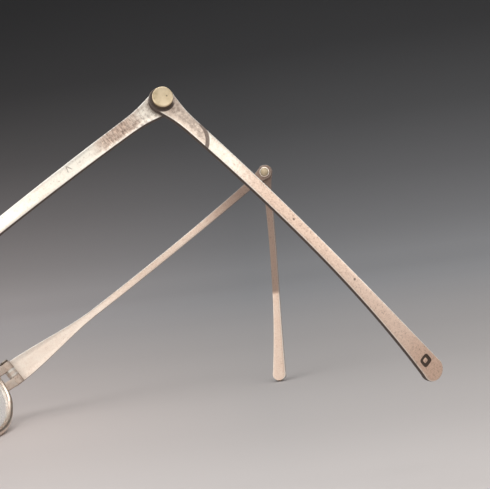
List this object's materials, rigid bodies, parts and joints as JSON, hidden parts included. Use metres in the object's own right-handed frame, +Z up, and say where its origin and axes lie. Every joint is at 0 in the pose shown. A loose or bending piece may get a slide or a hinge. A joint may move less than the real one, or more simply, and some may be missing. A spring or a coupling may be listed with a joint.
{
  "type": "folding side spectacles",
  "caption": "Oval-lens spectacles with an arched bridge and flat folding sides that turn again on a riveted elbow, standing open on eyewires and one tip.",
  "frame": {"origin": "centre of the bounding box's footprint, on the ground under the open spectacles", "axes": "+X to the wearer's left, +Y from the front towards the tips, +Z up, with the sides leaning up to the elbows"},
  "size_m": [0.1401, 0.1085, 0.0556],
  "materials": {
    "front_silver": "worn satin silver",
    "side_silver": "tarnished and scratched silver",
    "screw_steel": "worn bright",
    "rivet_brass": "pale, worn and pitted",
    "lens_glass": "clear ground glass"
  },
  "bodies": {
    "front": {"left_rim": "front_silver", "right_rim": "front_silver", "left_lens": "lens_glass", "right_lens": "lens_glass", "bridge": "front_silver", "left_upper_block": "front_silver", "left_lower_block": "front_silver", "right_upper_block": "front_silver", "right_lower_block": "front_silver", "left_hinge_screw": "screw_steel", "right_hinge_screw": "screw_steel"},
    "left_side": {"left_side_bar": "side_silver", "left_elbow_rivet": "rivet_brass", "left_washer": "front_silver"},
    "right_side": {"right_side_bar": "side_silver", "right_elbow_rivet": "rivet_brass", "right_washer": "front_silver"},
    "left_tip": {"left_tip_bar": "side_silver"},
    "right_tip": {"right_tip_bar": "side_silver"}
  },
  "joints": [
    {"name": "left_side_hinge", "type": "hinge", "parent": "front", "child": "left_side", "pos_m": [0.06321, -0.04476, 0.01112], "axis": [0, -0.5319, 0.8468], "range_deg": [-20, 86]},
    {"name": "right_side_hinge", "type": "hinge", "parent": "front", "child": "right_side", "pos_m": [-0.04679, -0.04476, 0.01112], "axis": [0, 0.5319, -0.8468], "range_deg": [-3, 91]},
    {"name": "left_elbow", "type": "hinge", "parent": "left_side", "child": "left_tip", "pos_m": [0.06042, 0.02294, 0.05365], "axis": [0.9219, 0.3281, 0.2061], "range_deg": [-95, 255]},
    {"name": "right_elbow", "type": "hinge", "parent": "right_side", "child": "right_tip", "pos_m": [-0.06749, 0.02068, 0.05223], "axis": [0.9949, -0.0856, -0.0538], "range_deg": [-51, 299]}
  ]
}
